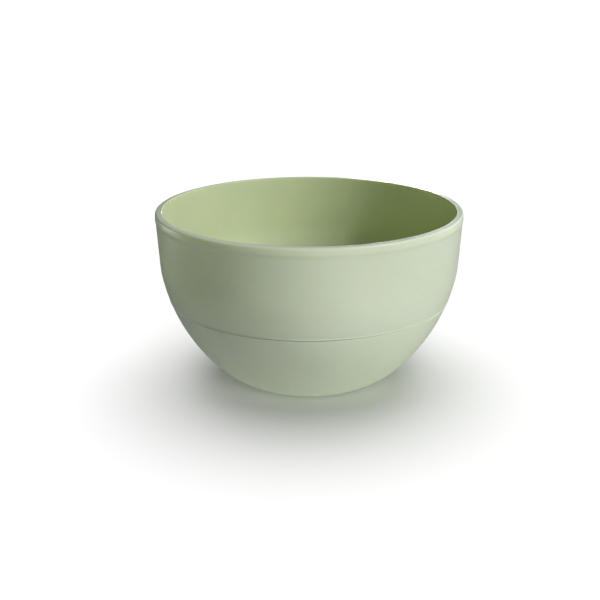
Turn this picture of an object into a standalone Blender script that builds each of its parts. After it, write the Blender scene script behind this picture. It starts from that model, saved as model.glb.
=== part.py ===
"""Mixing bowl, standing on its foot at the origin, with +Z up and all sizes in metres.

The bowl is two moulded pieces. bowl_shell is the hard plastic body: the whole inside, the rim and
the outer wall down to the joint line. non_slip_base is a soft cup moulded over the shell from that
line down to the foot, and locked to it by a ring that sits in a groove.
"""
import math

import bmesh
import bpy

# Overall size
HEIGHT = 0.1147
RIM_RADIUS = 0.100
WALL = 0.0048
SEGMENTS = 72
ARC_STEP = 6.0

# Rim: a tight inner edge, a crowned top and an outer lip that stands just proud of the wall
INNER_EDGE = 0.0007
CROWN_DROP = 0.0020
LIP_PROUD = 0.0003
LIP_UNDERCUT = 0.0004

# Outer outline below the rim: a nearly upright wall, then arcs that each turn it to a lower slope.
# A slope is the angle in degrees between the outline and the table.
WALL_SLOPE = 86.7
BELLY_ARCS = (
    # radius, slope at the arc's lower end
    (0.0495, 79.0),
    (0.116, 44.8),
    (0.059, 25.2),
    (0.015, 0.0),
)

# Joint between the shell and the base
JOINT_HEIGHT = 0.0563
GAP = 0.0003
BASE_WALL = 0.0022
FLARE_LENGTH = 0.0016
FLARE_PROUD = 0.00025
EDGE_ROUND = 0.0003

# Retention ring of the base, in a groove of the shell
RING_BELOW_JOINT = 0.004
RING_WIDTH = 0.002
RING_HEIGHT = 0.0009

# Foot
FOOT_WIDTH = 0.005
FOOT_RECESS = 0.001

# Linear colours
SHELL_COLOR = (0.50, 0.57, 0.40, 1.0)
BASE_COLOR = (0.49, 0.56, 0.39, 1.0)
SHELL_ROUGHNESS = 0.32
BASE_ROUGHNESS = 0.45

MERGE_DISTANCE = 1e-6
SHARP_ANGLE = math.radians(35.0)


def clear_scene():
    for obj in list(bpy.data.objects):
        bpy.data.objects.remove(obj)


def normal(slope):
    """Outward direction of an outline at a slope, as (r, z)."""
    angle = math.radians(slope)
    return math.sin(angle), -math.cos(angle)


def belly():
    """The outline's arcs from the wall down, each as (centre r, centre z, radius, top slope, low slope)."""
    drop = 0.0
    top_slope = WALL_SLOPE
    for radius, low_slope in BELLY_ARCS:
        drop += radius * (normal(top_slope)[1] - normal(low_slope)[1])
        top_slope = low_slope
    r = RIM_RADIUS - LIP_PROUD - (HEIGHT - drop) / math.tan(math.radians(WALL_SLOPE))
    z = drop
    arcs = []
    top_slope = WALL_SLOPE
    for radius, low_slope in BELLY_ARCS:
        out_r, out_z = normal(top_slope)
        centre_r = r - radius * out_r
        centre_z = z - radius * out_z
        arcs.append((centre_r, centre_z, radius, top_slope, low_slope))
        out_r, out_z = normal(low_slope)
        r = centre_r + radius * out_r
        z = centre_z + radius * out_z
        top_slope = low_slope
    return arcs


ARCS = belly()


def arc_at(slope):
    for arc in ARCS:
        if slope >= arc[4]:
            return arc
    return ARCS[-1]


def belly_point(slope, depth):
    """Point of the belly at a slope, at a depth below its outer surface."""
    centre_r, centre_z, radius = arc_at(slope)[:3]
    out_r, out_z = normal(slope)
    return centre_r + (radius - depth) * out_r, centre_z + (radius - depth) * out_z


def belly_curve(high, low, depth):
    """Points of the belly from a high slope down to a low one, both ends included."""
    slopes = [high]
    for arc in ARCS:
        top = min(high, arc[3])
        bottom = max(low, arc[4])
        if top <= bottom:
            continue
        steps = max(1, math.ceil((top - bottom) / ARC_STEP))
        for step in range(1, steps + 1):
            slopes.append(top + (bottom - top) * step / steps)
    return [belly_point(slope, depth) for slope in slopes]


def slope_at_height(z):
    """Slope of the outer surface at a height on the belly."""
    for centre_r, centre_z, radius, top_slope, low_slope in ARCS:
        slope = math.degrees(math.acos(min(1.0, (centre_z - z) / radius)))
        if low_slope <= slope <= top_slope:
            return slope
    return WALL_SLOPE


JOINT_SLOPE = slope_at_height(JOINT_HEIGHT)
JOINT_RADIUS = arc_at(JOINT_SLOPE)[2]


def below_joint(distance):
    """Slope of the belly at a distance along its surface below the joint."""
    return JOINT_SLOPE - math.degrees(distance / JOINT_RADIUS)


def wall_point(z, depth):
    """Point of the upright wall at a height, at a depth below its outer surface."""
    out_r, out_z = normal(WALL_SLOPE)
    lean = math.tan(math.radians(90.0 - WALL_SLOPE))
    return RIM_RADIUS - LIP_PROUD - (HEIGHT - z) * lean - depth / out_r, z


def inner_edge():
    """Round between the inner wall and the crest, from the wall up."""
    wall_r = wall_point(HEIGHT - INNER_EDGE, WALL)[0]
    centre_r = wall_r + INNER_EDGE
    steps = 4
    points = []
    for step in range(steps + 1):
        angle = math.pi - 0.5 * math.pi * step / steps
        z = HEIGHT - INNER_EDGE + INNER_EDGE * math.sin(angle)
        points.append((centre_r + INNER_EDGE * math.cos(angle), z))
    return points


def crown(crest_r):
    """Rim's top from the crest out to the lip, a quarter of an ellipse, and the lip's underside."""
    width = RIM_RADIUS - crest_r
    steps = 6
    points = []
    for step in range(1, steps + 1):
        angle = 0.5 * math.pi * (1.0 - step / steps)
        points.append((crest_r + width * math.cos(angle), HEIGHT - CROWN_DROP * (1.0 - math.sin(angle))))
    points.append((RIM_RADIUS, HEIGHT - CROWN_DROP - LIP_UNDERCUT))
    points.append(wall_point(HEIGHT - CROWN_DROP - 2.0 * LIP_UNDERCUT, 0.0))
    return points


def ring_section(top, width, depth, height):
    """Four corners of a band that reaches deeper below the belly, from its upper side down."""
    slope_top = below_joint(top)
    slope_low = below_joint(top + width)
    return [
        belly_point(slope_top, depth),
        belly_point(slope_top, depth + height),
        belly_point(slope_low, depth + height),
        belly_point(slope_low, depth),
    ]


def shell_edge():
    """Shell's outer surface at the joint: a slight flare, a rounded edge, then the shoulder inwards."""
    return [
        belly_point(below_joint(-EDGE_ROUND), -FLARE_PROUD),
        belly_point(JOINT_SLOPE, EDGE_ROUND - FLARE_PROUD),
        belly_point(JOINT_SLOPE, BASE_WALL + GAP),
    ]


def shell_seat():
    """Shell's surface under the base, from the shoulder to the axis, with the groove for the ring."""
    depth = BASE_WALL + GAP
    groove = ring_section(RING_BELOW_JOINT - GAP, RING_WIDTH + 2.0 * GAP, depth, RING_HEIGHT)
    low = below_joint(RING_BELOW_JOINT + RING_WIDTH + GAP)
    return groove + belly_curve(low, 0.0, depth)[1:] + [(0.0, depth)]


def shell_profile():
    inside = [(0.0, WALL)] + belly_curve(WALL_SLOPE, 0.0, WALL)[::-1]
    edge = inner_edge()
    rim = edge + crown(edge[-1][0])
    outside = belly_curve(WALL_SLOPE, below_joint(-FLARE_LENGTH), 0.0)
    return inside + rim + outside + shell_edge() + shell_seat()


def foot_profile():
    """Underside from the axis out to the foot's outer edge: a shallow recess inside a flat ring."""
    foot_out = belly_point(0.0, 0.0)[0]
    foot_in = foot_out - FOOT_WIDTH
    return [(0.0, FOOT_RECESS), (foot_in - FOOT_RECESS, FOOT_RECESS), (foot_in, 0.0), (foot_out, 0.0)]


def base_profile():
    top = below_joint(GAP)
    outside = belly_curve(below_joint(GAP + EDGE_ROUND), 0.0, 0.0)[:-1][::-1]
    edge = [belly_point(top, EDGE_ROUND), belly_point(top, BASE_WALL)]
    ring = ring_section(RING_BELOW_JOINT, RING_WIDTH, BASE_WALL, RING_HEIGHT)
    inside = belly_curve(below_joint(RING_BELOW_JOINT + RING_WIDTH), 0.0, BASE_WALL)[1:]
    return foot_profile() + outside + edge + ring + inside + [(0.0, BASE_WALL)]


def lathe(name, profile, material):
    """Turn a profile of (r, z) points, with both ends on the axis, into a closed solid."""
    bm = bmesh.new()
    verts = [bm.verts.new((r, 0.0, z)) for r, z in profile]
    edges = [bm.edges.new(pair) for pair in zip(verts, verts[1:])]
    bmesh.ops.spin(
        bm,
        geom=verts + edges,
        cent=(0.0, 0.0, 0.0),
        axis=(0.0, 0.0, 1.0),
        angle=2.0 * math.pi,
        steps=SEGMENTS,
        use_merge=True,
    )
    bmesh.ops.remove_doubles(bm, verts=bm.verts, dist=MERGE_DISTANCE)
    bmesh.ops.recalc_face_normals(bm, faces=bm.faces)
    mesh = bpy.data.meshes.new(name)
    bm.to_mesh(mesh)
    bm.free()
    mesh.shade_smooth()
    mesh.set_sharp_from_angle(angle=SHARP_ANGLE)
    mesh.materials.append(material)
    obj = bpy.data.objects.new(name, mesh)
    bpy.context.scene.collection.objects.link(obj)
    return obj


def plastic(name, color, roughness):
    material = bpy.data.materials.new(name)
    material.use_nodes = True
    shader = material.node_tree.nodes["Principled BSDF"]
    shader.inputs["Base Color"].default_value = color
    shader.inputs["Roughness"].default_value = roughness
    shader.inputs["Metallic"].default_value = 0.0
    return material


def main():
    clear_scene()
    shell_plastic = plastic("shell_plastic", SHELL_COLOR, SHELL_ROUGHNESS)
    base_rubber = plastic("base_rubber", BASE_COLOR, BASE_ROUGHNESS)
    lathe("bowl_shell", shell_profile(), shell_plastic)
    lathe("non_slip_base", base_profile(), base_rubber)


main()
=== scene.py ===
"""Looks of the mixing bowl.

Fine turned meshes stand for its two mouldings, in hard plastic and soft rubber, in a pale studio.
All sizes are in metres. A slope is the angle in degrees between an outline and the table, and a
depth is a distance below the bowl's outer surface.
"""

import math

import bmesh
import bpy
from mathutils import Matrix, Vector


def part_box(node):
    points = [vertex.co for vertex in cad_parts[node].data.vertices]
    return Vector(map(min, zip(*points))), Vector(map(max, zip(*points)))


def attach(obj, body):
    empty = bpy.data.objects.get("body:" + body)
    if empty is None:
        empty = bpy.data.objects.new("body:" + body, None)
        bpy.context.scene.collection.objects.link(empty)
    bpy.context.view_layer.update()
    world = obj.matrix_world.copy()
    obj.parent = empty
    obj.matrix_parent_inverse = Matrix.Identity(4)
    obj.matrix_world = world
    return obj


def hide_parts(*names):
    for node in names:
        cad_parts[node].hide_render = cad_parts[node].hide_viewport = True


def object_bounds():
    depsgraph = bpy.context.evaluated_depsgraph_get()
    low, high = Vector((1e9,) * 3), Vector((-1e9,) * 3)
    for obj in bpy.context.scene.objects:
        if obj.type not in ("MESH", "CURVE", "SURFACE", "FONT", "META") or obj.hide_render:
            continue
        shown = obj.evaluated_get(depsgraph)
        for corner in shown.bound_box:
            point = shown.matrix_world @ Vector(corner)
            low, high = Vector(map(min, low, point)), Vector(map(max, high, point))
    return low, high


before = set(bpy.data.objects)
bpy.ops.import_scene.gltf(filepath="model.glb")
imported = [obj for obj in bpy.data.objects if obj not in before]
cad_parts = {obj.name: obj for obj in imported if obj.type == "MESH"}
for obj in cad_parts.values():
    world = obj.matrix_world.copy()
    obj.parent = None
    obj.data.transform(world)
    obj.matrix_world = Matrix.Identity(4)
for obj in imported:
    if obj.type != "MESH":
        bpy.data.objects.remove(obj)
cad_low, cad_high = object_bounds()

# Overall size, from the frame
RIM_RADIUS = cad_high.x
HEIGHT = cad_high.z
BASE_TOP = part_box("non_slip_base")[1].z

# Outline of the bowl
WALL = 0.0043
WALL_SLOPE = 86.7
BELLY_ARCS = (
    # radius, slope at the arc's lower end
    (0.0495, 79.0),
    (0.116, 44.8),
    (0.059, 25.2),
    (0.015, 0.0),
)
SEGMENTS = 288
ARC_STEP = 1.0
WALL_STEPS = 12
FLOOR_STEPS = 10

# Rim
INNER_EDGE = 0.0004
TOP_SLOPE = 5.0
OUTER_EDGE = 0.0012
BAND_SLOPE = 86.2
BAND_HEIGHT = 0.0029
LIP_PROUD = 0.00003
LIP_FADE = 0.003
LIP_STEPS = 12
CROWN_STEPS = 12
EDGE_STEPS = 8

# Joint between the shell and the base
GAP = 0.0003
SEAM = 0.0005
BASE_WALL = 0.0022
BEAD_WIDTH = 0.0009
BEAD_HEIGHT = 0.0002
BEAD_STEPS = 10
EDGE_ROUND = 0.0003
CORNER_STEPS = 4
RING_BELOW_JOINT = 0.004
RING_WIDTH = 0.002
RING_HEIGHT = 0.0009

# Underside
FOOT_WIDTH = 0.005
FOOT_RECESS = 0.001
GRIP_GROOVES = 3
GROOVE_WIDTH = 0.0008
GROOVE_DEPTH = 0.0003
BUTTON_RADIUS = 0.003
BUTTON_HEIGHT = 0.0004
RECESS_STEPS = 12
SHARP_ANGLE = math.radians(50.0)

# Colours and gloss
OUTSIDE_COLOR = (0.65, 0.715, 0.57)
# The inside colour is darker and deeper than the outside. It is painted shade, standing in for the
# shade and the green light bounced inside the bowl on one and the same plastic.
INSIDE_SHADE_COLOR = (0.555, 0.62, 0.40)
BASE_COLOR = (0.70, 0.775, 0.605)
OUTSIDE_ROUGHNESS = 0.36
INSIDE_ROUGHNESS = 0.32
BASE_ROUGHNESS = 0.38
CLOUD_CHANGE = 0.02
SMUDGE_CHANGE = 0.04
GLOSS = 0.35

# Wear, on edges and from stirring
WEAR_REACH = 0.0012
WORN_PATCH = 0.02
WORN_LEAST = 0.9
WORN_LIGHTER = 1.04
WORN_SMOOTHER = 0.14
BASE_WORN_SMOOTHER = 0.08
SCRATCH_LENGTH = 0.02
SCRATCH_WIDTH = 0.0004
SCRATCH_RANGE = (0.62, 0.74)
SCRATCH_ROUGHER = 0.12
SCRATCH_DEPTH = 0.000003

# Clouds and specks of colour, smudges of gloss, waves and grain of relief: the size of each, and
# the depth of the relief. A range is the part of the noise that is spread over the whole change.
PATCH_RANGE = (0.35, 0.65)
SPECK_RANGE = (0.3, 0.7)
SHELL_CLOUD = 0.035
SHELL_SPECK = 0.0009
SHELL_SPECK_CHANGE = 0.015
SHELL_SMUDGE = 0.022
SHELL_WAVE = 0.014
SHELL_GRAIN = 0.0011
SHELL_GRAIN_DEPTH = 0.000006
BASE_CLOUD = 0.03
BASE_SPECK = 0.0007
BASE_SPECK_CHANGE = 0.02
BASE_SMUDGE = 0.018
BASE_WAVE = 0.012
BASE_GRAIN = 0.0006
BASE_GRAIN_DEPTH = 0.000008
WAVE_DEPTH = 0.00004

# Light inside the walls: the share of it that spreads, how far it goes, and for red, green and
# blue which part of that distance
GLOW = 0.55
SHELL_GLOW = 0.010
BASE_GLOW = 0.0015
GLOW_TINT = (0.9, 1.0, 0.1)

# Height above the joint over which the shell goes from its look under the base to its own
COVER_FADE = 0.025

# Camera. The first two are in rim radii, from the bowl's axis and above the table
CAMERA_BACK = 6.364
CAMERA_HEIGHT = 2.654
CAMERA_PITCH = 18.65
CAMERA_LENS = 59.8
CAMERA_SHIFT = -0.0153
CAMERA_REACH = 48.0

# Floor
FLOOR_RADIUS = 12.0
FLOOR_SEGMENTS = 64
FLOOR_COLOR = (0.9, 0.9, 0.9, 1.0)
FLOOR_ROUGHNESS = 0.9
FLOOR_GLOSS = 0.2

# Lights, as name, azimuth, elevation, strength, spread
BOWL_LIGHTS = (
    ("key", 60.0, 28.0, 1.22, 26.0),
    ("key_high", 60.0, 45.0, 1.4, 8.0),
    ("key_front", 30.0, 28.0, 0.12, 26.0),
    ("front_low", 0.0, 8.0, 0.36, 26.0),
    ("left_back", 240.0, 8.0, 0.2, 26.0),
    ("left_low", 240.0, -6.0, 0.5, 16.0),
    ("right_low", 120.0, -6.0, 0.3, 16.0),
    ("right_back", 150.0, 28.0, 0.9, 26.0),
    ("back", 180.0, 50.0, 0.15, 26.0),
    ("rim_light", 174.0, 5.0, 0.2, 6.0),
    ("reflector", 30.0, -25.0, 0.9, 60.0),
)
FLOOR_FILL = ("floor_fill", 10.0, 27.0, 0.85, 40.0)
WASHES = (
    ("wash_top", 177.0, 80.0, 1.65, 66.0),
    ("wash_back", 177.0, 60.0, 1.05, 60.0),
    ("wash_left", 270.0, 60.0, 0.55, 60.0),
    ("wash_right", 90.0, 60.0, 0.35, 60.0),
)


def outward(slope):
    """Outward direction of the outline at a slope, as (r, z)."""
    angle = math.radians(slope)
    return math.sin(angle), -math.cos(angle)


def belly():
    """The outline's arcs from the wall down.

    Each is (centre r, centre z, radius, slope at its top, slope at its lower end).
    """
    drop = 0.0
    top_slope = WALL_SLOPE
    for radius, low_slope in BELLY_ARCS:
        drop += radius * (outward(top_slope)[1] - outward(low_slope)[1])
        top_slope = low_slope
    r = RIM_RADIUS - LIP_PROUD - (HEIGHT - drop) / math.tan(math.radians(WALL_SLOPE))
    z = drop
    arcs = []
    top_slope = WALL_SLOPE
    for radius, low_slope in BELLY_ARCS:
        out_r, out_z = outward(top_slope)
        centre_r = r - radius * out_r
        centre_z = z - radius * out_z
        arcs.append((centre_r, centre_z, radius, top_slope, low_slope))
        out_r, out_z = outward(low_slope)
        r = centre_r + radius * out_r
        z = centre_z + radius * out_z
        top_slope = low_slope
    return arcs


ARCS = belly()


def arc_at(slope):
    """Arc of the belly that holds a slope."""
    for arc in ARCS:
        if slope >= arc[4]:
            return arc
    return ARCS[-1]


def belly_point(slope, depth):
    """Point (r, z) of the belly at a slope and a depth."""
    centre_r, centre_z, radius = arc_at(slope)[:3]
    out_r, out_z = outward(slope)
    return centre_r + (radius - depth) * out_r, centre_z + (radius - depth) * out_z


def belly_curve(high, low, depth):
    """Points of the belly from a high slope down to a low one, both ends included."""
    slopes = [high]
    for arc in ARCS:
        top = min(high, arc[3])
        bottom = max(low, arc[4])
        if top <= bottom:
            continue
        steps = max(1, math.ceil((top - bottom) / ARC_STEP))
        for step in range(1, steps + 1):
            slopes.append(top + (bottom - top) * step / steps)
    return [belly_point(slope, depth) for slope in slopes]


def slope_at(z, depth):
    """Slope of the belly where the surface at a depth passes a height."""
    for centre_r, centre_z, radius, top_slope, low_slope in ARCS:
        slope = math.degrees(math.acos(min(1.0, (centre_z - z) / (radius - depth))))
        if low_slope <= slope <= top_slope:
            return slope
    return WALL_SLOPE


EDGE_SLOPE = slope_at(BASE_TOP, BASE_WALL)
JOINT_RADIUS = arc_at(EDGE_SLOPE)[2]
JOINT_SLOPE = EDGE_SLOPE + math.degrees(SEAM / JOINT_RADIUS)


def below_joint(distance):
    """Slope of the belly at a distance along its surface below the joint."""
    return JOINT_SLOPE - math.degrees(distance / JOINT_RADIUS)


def wall_point(z, depth):
    """Point of the upright wall at a height and a depth."""
    out_r = outward(WALL_SLOPE)[0]
    lean = math.tan(math.radians(90.0 - WALL_SLOPE))
    return RIM_RADIUS - LIP_PROUD - (HEIGHT - z) * lean - depth / out_r, z


def ease(t):
    """Smooth step from 0 to 1."""
    return t * t * (3.0 - 2.0 * t)


def wall_curve(top_z, low_z, depth):
    """Points down the upright wall, between two heights and without them."""
    drop = (low_z - top_z) / WALL_STEPS
    return [wall_point(top_z + drop * step, depth) for step in range(1, WALL_STEPS)]


def inner_edge():
    """Round between the inner wall and the crest, from the wall up."""
    centre_r = wall_point(HEIGHT - INNER_EDGE, WALL)[0] + INNER_EDGE
    points = []
    for step in range(EDGE_STEPS + 1):
        angle = math.pi - 0.5 * math.pi * step / EDGE_STEPS
        z = HEIGHT - INNER_EDGE + INNER_EDGE * math.sin(angle)
        points.append((centre_r + INNER_EDGE * math.cos(angle), z))
    return points


def crown():
    """Rim from the crest out.

    A flat top ends in a small round edge. A steep band runs down from there to the lip, the widest
    line, and the lip fades into the wall.
    """
    top = math.radians(TOP_SLOPE)
    band = math.radians(BAND_SLOPE)
    edge_width = OUTER_EDGE * (math.sin(band) - math.sin(top))
    flat_width = RIM_RADIUS - crest_radius() - edge_width - BAND_HEIGHT / math.tan(band)
    r = crest_radius() + flat_width
    z = HEIGHT - flat_width * math.tan(top)
    points = []
    for step in range(CROWN_STEPS + 1):
        slope = top + (band - top) * step / CROWN_STEPS
        points.append((r + OUTER_EDGE * (math.sin(slope) - math.sin(top)),
                       z - OUTER_EDGE * (math.cos(top) - math.cos(slope))))
    lip_z = points[-1][1] - BAND_HEIGHT
    points.append((RIM_RADIUS, lip_z))
    proud = RIM_RADIUS - wall_point(lip_z, 0.0)[0]
    for step in range(1, LIP_STEPS + 1):
        share = step / LIP_STEPS
        wall_r, z = wall_point(lip_z - LIP_FADE * share, 0.0)
        points.append((wall_r + proud * (1.0 - ease(share)), z))
    return points


def base_edge():
    """Round on the base's upper edge, from the outer surface into the joint's face."""
    points = []
    for step in range(CORNER_STEPS + 1):
        angle = 0.5 * math.pi * step / CORNER_STEPS
        along = EDGE_ROUND * (1.0 - math.sin(angle))
        sunk = EDGE_ROUND * (1.0 - math.cos(angle))
        points.append(belly_point(EDGE_SLOPE - math.degrees(along / JOINT_RADIUS), sunk))
    return points


def bead():
    """Small bead along the shell's lower edge, from its upper side down into the joint."""
    points = []
    for step in range(BEAD_STEPS + 1):
        angle = math.pi * step / BEAD_STEPS
        above = 0.5 * BEAD_WIDTH * (1.0 + math.cos(angle))
        points.append(belly_point(below_joint(-above), -BEAD_HEIGHT * math.sin(angle)))
    return points


def ring_section(top, width, depth, height):
    """Four corners of a band that reaches deeper below the belly, from its upper side down."""
    slope_top = below_joint(top)
    slope_low = below_joint(top + width)
    return [
        belly_point(slope_top, depth),
        belly_point(slope_top, depth + height),
        belly_point(slope_low, depth + height),
        belly_point(slope_low, depth),
    ]


def shell_seat():
    """Shell's surface under the base, from the joint in to the axis, with the ring's groove."""
    depth = BASE_WALL + GAP
    groove = ring_section(RING_BELOW_JOINT - GAP, RING_WIDTH + 2.0 * GAP, depth, RING_HEIGHT)
    low = below_joint(RING_BELOW_JOINT + RING_WIDTH + GAP)
    return groove + belly_curve(low, 0.0, depth)[1:] + floor_points(depth)[::-1]


def floor_points(z):
    """Points along a flat floor from the axis outwards, without its outer end."""
    outer = belly_point(0.0, 0.0)[0]
    return [(outer * step / FLOOR_STEPS, z) for step in range(FLOOR_STEPS)]


def crest_radius():
    """Radius of the rim's highest line."""
    return inner_edge()[-1][0]


def shell_profile():
    """Shell's outline from the inner floor's centre over the rim to the seat's centre.

    Also says how far each point belongs to the inside.
    """
    belly_top = belly_point(WALL_SLOPE, 0.0)[1]
    inside = floor_points(WALL) + belly_curve(WALL_SLOPE, 0.0, WALL)[::-1]
    inside += wall_curve(HEIGHT - INNER_EDGE, belly_top, WALL)[::-1]
    edge = inner_edge()
    outside = crown()
    outside += wall_curve(outside[-1][1], belly_top, 0.0)
    outside += belly_curve(WALL_SLOPE, below_joint(-BEAD_WIDTH), 0.0)[:-1]
    outside += bead()
    outside += [belly_point(JOINT_SLOPE, BASE_WALL + GAP)] + shell_seat()
    fade = [1.0 - step / EDGE_STEPS for step in range(EDGE_STEPS + 1)]
    return inside + edge + outside, [1.0] * len(inside) + fade + [0.0] * len(outside)


def foot_profile():
    """Underside from the axis out to the foot's outer edge.

    A flat ring stands on the table. It carries fine grip grooves, and the shallow recess inside it
    carries the round button left where the rubber was injected.
    """
    foot_out = belly_point(0.0, 0.0)[0]
    foot_in = foot_out - FOOT_WIDTH
    button_z = FOOT_RECESS - BUTTON_HEIGHT
    flat_in = BUTTON_RADIUS + BUTTON_HEIGHT
    button = [(0.0, button_z), (BUTTON_RADIUS, button_z), (flat_in, FOOT_RECESS)]
    width = foot_in - FOOT_RECESS - flat_in
    recess = [(flat_in + width * step / RECESS_STEPS, FOOT_RECESS)
              for step in range(1, RECESS_STEPS + 1)]
    ring = [(foot_in, 0.0)]
    pitch = FOOT_WIDTH / (GRIP_GROOVES + 1)
    for groove in range(1, GRIP_GROOVES + 1):
        middle = foot_in + groove * pitch
        ring.append((middle - 0.5 * GROOVE_WIDTH, 0.0))
        ring.append((middle, GROOVE_DEPTH))
        ring.append((middle + 0.5 * GROOVE_WIDTH, 0.0))
    return button + recess + ring + [(foot_out, 0.0)]


def base_profile():
    """Base's outline from the foot's centre round its upper edge to its inner floor's centre."""
    outside = belly_curve(below_joint(SEAM + 2.0 * EDGE_ROUND), 0.0, 0.0)[:-1][::-1]
    edge = base_edge() + [belly_point(EDGE_SLOPE, BASE_WALL)]
    ring = ring_section(RING_BELOW_JOINT, RING_WIDTH, BASE_WALL, RING_HEIGHT)
    inside = belly_curve(below_joint(RING_BELOW_JOINT + RING_WIDTH), 0.0, BASE_WALL)[1:]
    return foot_profile() + outside + edge + ring + inside + floor_points(BASE_WALL)[::-1]


def wear_along(profile, edges):
    """How worn each point of a profile is, from 1 on an edge to 0 at WEAR_REACH from it."""
    worn = []
    for r, z in profile:
        nearest = min(math.dist((r, z), edge) for edge in edges)
        worn.append(ease(max(0.0, 1.0 - nearest / WEAR_REACH)))
    return worn


def lathe(name, profile, material, inside, worn):
    """Turn a profile of (r, z) points, with both ends on the axis, into a closed solid.

    inside and worn give, for each point of the profile, how far the surface belongs to the
    polished inside and how worn it is. The materials read them from the mesh.
    """
    rings = profile[1:-1]
    verts = [(0.0, 0.0, profile[0][1])]
    for r, z in rings:
        for segment in range(SEGMENTS):
            angle = 2.0 * math.pi * segment / SEGMENTS
            verts.append((r * math.cos(angle), r * math.sin(angle), z))
    verts.append((0.0, 0.0, profile[-1][1]))
    last = len(verts) - 1
    low_ring = last - SEGMENTS
    faces = []
    for segment in range(SEGMENTS):
        following = (segment + 1) % SEGMENTS
        faces.append((0, 1 + segment, 1 + following))
        for ring in range(len(rings) - 1):
            here = 1 + ring * SEGMENTS
            there = here + SEGMENTS
            faces.append((here + segment, there + segment, there + following, here + following))
        faces.append((low_ring + segment, last, low_ring + following))
    mesh = bpy.data.meshes.new(name)
    mesh.from_pydata(verts, [], faces)
    for label, values in (("inside", inside), ("wear", worn)):
        spread = [values[0]]
        for value in values[1:-1]:
            spread += [value] * SEGMENTS
        spread.append(values[-1])
        mesh.attributes.new(label, "FLOAT", "POINT").data.foreach_set("value", spread)
    mesh.shade_smooth()
    mesh.set_sharp_from_angle(angle=SHARP_ANGLE)
    mesh.materials.append(material)
    obj = bpy.data.objects.new(name, mesh)
    bpy.context.scene.collection.objects.link(obj)
    return obj


class Nodes:
    """Short ways to add nodes to one material."""

    def __init__(self, name):
        self.material = bpy.data.materials.new(name)
        self.material.use_nodes = True
        self.tree = self.material.node_tree
        self.shader = self.tree.nodes["Principled BSDF"]
        coordinates = self.tree.nodes.new("ShaderNodeTexCoord")
        self.place = coordinates.outputs["Object"]

    def feed(self, socket, value):
        """Give a socket a value, which is a number, a vector or another node's output."""
        if isinstance(value, bpy.types.NodeSocket):
            self.tree.links.new(value, socket)
        else:
            socket.default_value = value

    def noise(self, size, detail=2.0, place=None):
        """Noise from 0 to 1, in blots of about a size."""
        node = self.tree.nodes.new("ShaderNodeTexNoise")
        node.inputs["Scale"].default_value = 1.0 / size
        node.inputs["Detail"].default_value = detail
        self.feed(node.inputs["Vector"], place or self.place)
        return node.outputs["Fac"]

    def patches(self, size, detail, to_low=0.0, to_high=1.0):
        """Soft patches of about a size, between two values."""
        return self.ramp(self.noise(size, detail), *PATCH_RANGE, to_low, to_high)

    def specks(self, size, change):
        """Brightness that goes up and down from 1 in specks of a size."""
        return self.ramp(self.noise(size), *SPECK_RANGE, 1.0 - change, 1.0 + change)

    def ramp(self, value, low, high, to_low=0.0, to_high=1.0):
        """Map low..high to to_low..to_high, and hold the ends."""
        node = self.tree.nodes.new("ShaderNodeMapRange")
        self.feed(node.inputs["Value"], value)
        node.inputs["From Min"].default_value = low
        node.inputs["From Max"].default_value = high
        self.feed(node.inputs["To Min"], to_low)
        self.feed(node.inputs["To Max"], to_high)
        return node.outputs["Result"]

    def math(self, operation, first, second):
        node = self.tree.nodes.new("ShaderNodeMath")
        node.operation = operation
        self.feed(node.inputs[0], first)
        self.feed(node.inputs[1], second)
        return node.outputs["Value"]

    def vector(self, operation, first, second=None):
        node = self.tree.nodes.new("ShaderNodeVectorMath")
        node.operation = operation
        self.feed(node.inputs[0], first)
        if second is not None:
            self.feed(node.inputs[1], second)
        return node.outputs["Vector"]

    def height(self):
        """Height above the table."""
        parts = self.tree.nodes.new("ShaderNodeSeparateXYZ")
        self.feed(parts.inputs["Vector"], self.place)
        return parts.outputs["Z"]

    def attribute(self, name):
        node = self.tree.nodes.new("ShaderNodeAttribute")
        node.attribute_name = name
        return node.outputs["Fac"]

    def mix(self, share, first, second):
        """Blend two colours."""
        node = self.tree.nodes.new("ShaderNodeMix")
        node.data_type = "RGBA"
        self.feed(node.inputs["Factor"], share)
        colors = [socket for socket in node.inputs if socket.type == "RGBA"]
        self.feed(colors[0], first)
        self.feed(colors[1], second)
        return [socket for socket in node.outputs if socket.type == "RGBA"][0]

    def tint(self, color, brightness):
        """Multiply a colour by a number."""
        return self.vector("MULTIPLY", color, self.combine(brightness, brightness, brightness))

    def combine(self, x, y, z):
        node = self.tree.nodes.new("ShaderNodeCombineXYZ")
        for socket, value in zip(node.inputs, (x, y, z)):
            self.feed(socket, value)
        return node.outputs["Vector"]

    def around(self, length, width):
        """Coordinates that make noise run in streaks around the axis, of a length and a width."""
        spoke = self.vector("NORMALIZE", self.vector("MULTIPLY", self.place, (1.0, 1.0, 0.0)))
        circle = self.vector("MULTIPLY", spoke, (RIM_RADIUS / length,) * 3)
        parts = self.tree.nodes.new("ShaderNodeSeparateXYZ")
        self.feed(parts.inputs["Vector"], self.place)
        squares = self.math("ADD", self.math("MULTIPLY", parts.outputs["X"], parts.outputs["X"]),
                            self.math("MULTIPLY", parts.outputs["Y"], parts.outputs["Y"]))
        across = self.math("ADD", self.math("POWER", squares, 0.5), parts.outputs["Z"])
        rise = self.combine(0.0, 0.0, self.math("DIVIDE", across, width))
        return self.vector("ADD", circle, rise)

    def bump(self, height, distance, normal=None):
        """Relief whose full height is a distance in metres."""
        node = self.tree.nodes.new("ShaderNodeBump")
        node.inputs["Distance"].default_value = distance
        self.feed(node.inputs["Height"], height)
        if normal is not None:
            self.feed(node.inputs["Normal"], normal)
        return node.outputs["Normal"]


def shades(color, change):
    """A darker and a lighter shade of a colour."""
    dark = tuple(value * (1.0 - change) for value in color) + (1.0,)
    light = tuple(value * (1.0 + change) for value in color) + (1.0,)
    return dark, light


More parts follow.
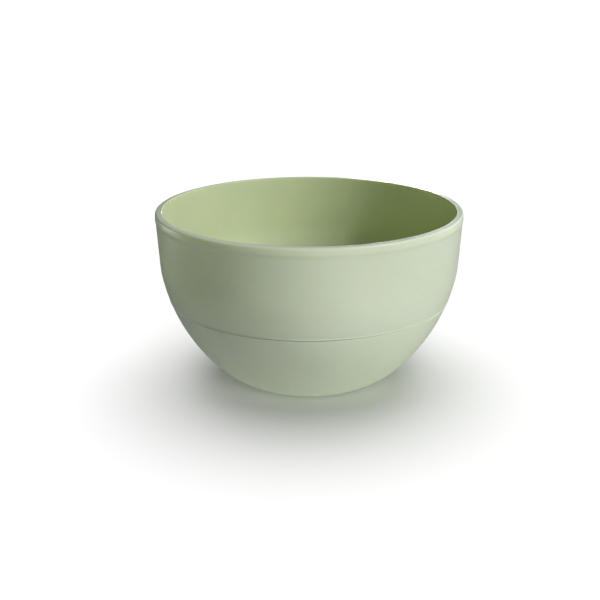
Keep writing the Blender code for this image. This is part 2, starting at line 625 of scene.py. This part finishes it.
def set_body(nodes, reach, dense):
    """A soft gloss, over a body in which light spreads for a distance and comes out yellower.

    Where the body is dense, it keeps its light.
    """
    shader = nodes.shader
    shader.inputs["Specular IOR Level"].default_value = GLOSS
    nodes.feed(shader.inputs["Subsurface Weight"], nodes.ramp(dense, 0.0, 1.0, GLOW, 0.0))
    shader.inputs["Subsurface Radius"].default_value = GLOW_TINT
    shader.inputs["Subsurface Scale"].default_value = reach


def shell_color(nodes, inside, worn):
    """Clouded and finely specked colour, darker and deeper inside as painted shade of the bowl's
    hollow, and a little lighter where it is worn.

    Towards the base the outside takes on the base's colour, so that they match at the joint.
    """
    clouds = nodes.patches(SHELL_CLOUD, 4.0)
    # The inside copy of the colour is darker and deeper. It is painted shade of the bowl's hollow.
    outer, inner_shaded, low = [nodes.mix(clouds, *shades(color, CLOUD_CHANGE))
                         for color in (OUTSIDE_COLOR, INSIDE_SHADE_COLOR, BASE_COLOR)]
    color = nodes.mix(inside, nodes.mix(covered(nodes), outer, low), inner_shaded)
    color = nodes.tint(color, nodes.specks(SHELL_SPECK, SHELL_SPECK_CHANGE))
    return nodes.tint(color, nodes.ramp(worn, 0.0, 1.0, 1.0, WORN_LIGHTER))


def covered(nodes):
    """1 where the base covers the shell, fading to 0 above the joint."""
    return nodes.ramp(nodes.height(), BASE_TOP, BASE_TOP + COVER_FADE, 1.0, 0.0)


def shell_plastic():
    """Hard moulded plastic, satin outside and polished inside, with fine marks from stirring."""
    nodes = Nodes("shell_plastic")
    inside = nodes.attribute("inside")
    wear = nodes.attribute("wear")
    worn = nodes.math("MULTIPLY", wear, nodes.patches(WORN_PATCH, 3.0, WORN_LEAST, 1.0))
    nodes.feed(nodes.shader.inputs["Base Color"], shell_color(nodes, inside, worn))

    streaks = nodes.noise(1.0, 3.0, nodes.around(SCRATCH_LENGTH, SCRATCH_WIDTH))
    scratches = nodes.math("MULTIPLY", nodes.ramp(streaks, *SCRATCH_RANGE), inside)
    smudges = nodes.patches(SHELL_SMUDGE, 5.0, -SMUDGE_CHANGE, SMUDGE_CHANGE)
    roughness = nodes.ramp(inside, 0.0, 1.0, OUTSIDE_ROUGHNESS, INSIDE_ROUGHNESS)
    roughness = nodes.math("ADD", roughness, smudges)
    rougher = nodes.math("MULTIPLY", scratches, SCRATCH_ROUGHER)
    roughness = nodes.math("ADD", roughness, rougher)
    smoother = nodes.math("MULTIPLY", worn, WORN_SMOOTHER)
    roughness = nodes.math("SUBTRACT", roughness, smoother)
    nodes.feed(nodes.shader.inputs["Roughness"], roughness)

    relief = nodes.bump(nodes.noise(SHELL_WAVE), WAVE_DEPTH)
    relief = nodes.bump(nodes.noise(SHELL_GRAIN, 3.0), SHELL_GRAIN_DEPTH, relief)
    relief = nodes.bump(nodes.math("MULTIPLY", scratches, -1.0), SCRATCH_DEPTH, relief)
    nodes.feed(nodes.shader.inputs["Normal"], relief)
    set_body(nodes, SHELL_GLOW, nodes.math("MAXIMUM", wear, covered(nodes)))
    return nodes.material


def base_rubber():
    """Soft moulded rubber with a fine even grain, rubbed a little smoother where it wears."""
    nodes = Nodes("base_rubber")
    wear = nodes.attribute("wear")
    color = nodes.mix(nodes.patches(BASE_CLOUD, 4.0), *shades(BASE_COLOR, CLOUD_CHANGE))
    color = nodes.tint(color, nodes.specks(BASE_SPECK, BASE_SPECK_CHANGE))
    nodes.feed(nodes.shader.inputs["Base Color"], color)
    smudges = nodes.patches(BASE_SMUDGE, 5.0, -SMUDGE_CHANGE, SMUDGE_CHANGE)
    worn_roughness = BASE_ROUGHNESS - BASE_WORN_SMOOTHER
    roughness = nodes.ramp(wear, 0.0, 1.0, BASE_ROUGHNESS, worn_roughness)
    roughness = nodes.math("ADD", smudges, roughness)
    nodes.feed(nodes.shader.inputs["Roughness"], roughness)
    relief = nodes.bump(nodes.noise(BASE_WAVE), WAVE_DEPTH)
    relief = nodes.bump(nodes.noise(BASE_GRAIN, 3.0), BASE_GRAIN_DEPTH, relief)
    nodes.feed(nodes.shader.inputs["Normal"], relief)
    set_body(nodes, BASE_GLOW, wear)
    return nodes.material


def sun(name, azimuth, elevation, strength, spread, receivers):
    """Soft light from far away on some of the pieces.

    Azimuth 0 is behind the camera and 90 is on its right. A light from below the table's level
    stands for light off the table, so only the receivers themselves can block it.
    """
    data = bpy.data.lights.new(name, "SUN")
    data.energy = strength
    data.angle = math.radians(spread)
    obj = bpy.data.objects.new(name, data)
    obj.rotation_euler = (math.radians(90.0 - elevation), 0.0, math.radians(azimuth))
    bpy.context.scene.collection.objects.link(obj)
    group = bpy.data.collections.new(name + "_receivers")
    for receiver in receivers:
        group.objects.link(receiver)
    obj.light_linking.receiver_collection = group
    if elevation < 0.0:
        obj.light_linking.blocker_collection = group
    return obj


def wash(name, azimuth, elevation, strength, spread, receivers):
    """Soft light that doesn't come back off what it falls on."""
    light = sun(name, azimuth, elevation, strength, spread, receivers)
    light.data.cycles.max_bounces = 0
    light.data.cycles.use_multiple_importance_sampling = False


def add_floor():
    """Plain pale disc at the table's level."""
    bm = bmesh.new()
    bmesh.ops.create_circle(bm, cap_ends=True, segments=FLOOR_SEGMENTS, radius=FLOOR_RADIUS)
    mesh = bpy.data.meshes.new("floor")
    bm.to_mesh(mesh)
    bm.free()
    material = bpy.data.materials.new("pale_floor")
    material.use_nodes = True
    shader = material.node_tree.nodes["Principled BSDF"]
    shader.inputs["Base Color"].default_value = FLOOR_COLOR
    shader.inputs["Roughness"].default_value = FLOOR_ROUGHNESS
    shader.inputs["Specular IOR Level"].default_value = FLOOR_GLOSS
    mesh.materials.append(material)
    obj = bpy.data.objects.new("floor", mesh)
    obj.location.z = cad_low.z
    bpy.context.scene.collection.objects.link(obj)
    return obj


def add_world():
    """Plain pale background. It gives no light, since the studio's lights give all of it."""
    world = bpy.data.worlds.new("studio")
    bpy.context.scene.world = world
    world.use_nodes = True
    background = world.node_tree.nodes["Background"]
    background.inputs["Color"].default_value = (1.0, 1.0, 1.0, 1.0)
    background.inputs["Strength"].default_value = 1.0
    world.cycles_visibility.diffuse = False
    world.cycles_visibility.glossy = False
    world.cycles_visibility.transmission = False
    world.cycles_visibility.scatter = False


def add_camera():
    """Camera in front of the bowl, which looks down on it."""
    data = bpy.data.cameras.new("camera")
    data.lens = CAMERA_LENS
    data.shift_x = CAMERA_SHIFT
    data.clip_end = CAMERA_REACH
    camera = bpy.data.objects.new("camera", data)
    camera.location = (0.0, -CAMERA_BACK * RIM_RADIUS, CAMERA_HEIGHT * RIM_RADIUS)
    camera.rotation_euler = (math.radians(90.0 - CAMERA_PITCH), 0.0, 0.0)
    bpy.context.scene.collection.objects.link(camera)
    bpy.context.scene.camera = camera


shell_outline, shell_inside = shell_profile()
rim_edges = [crown()[0], (crest_radius(), HEIGHT)]
shell_wear = wear_along(shell_outline, rim_edges)
shell = lathe("shell_surface", shell_outline, shell_plastic(), shell_inside, shell_wear)
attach(shell, "root")
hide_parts("bowl_shell")

base_outline = base_profile()
base_inside = [0.0] * len(base_outline)
base_edges = [belly_point(0.0, 0.0), belly_point(EDGE_SLOPE, 0.0)]
base_wear = wear_along(base_outline, base_edges)
base = lathe("base_surface", base_outline, base_rubber(), base_inside, base_wear)
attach(base, "root")
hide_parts("non_slip_base")

floor = add_floor()

add_world()
for light in BOWL_LIGHTS:
    sun(*light, [shell, base])
sun(*FLOOR_FILL, [floor])
for light in WASHES:
    wash(*light, [floor])
add_camera()
bpy.context.scene.view_settings.view_transform = "Standard"
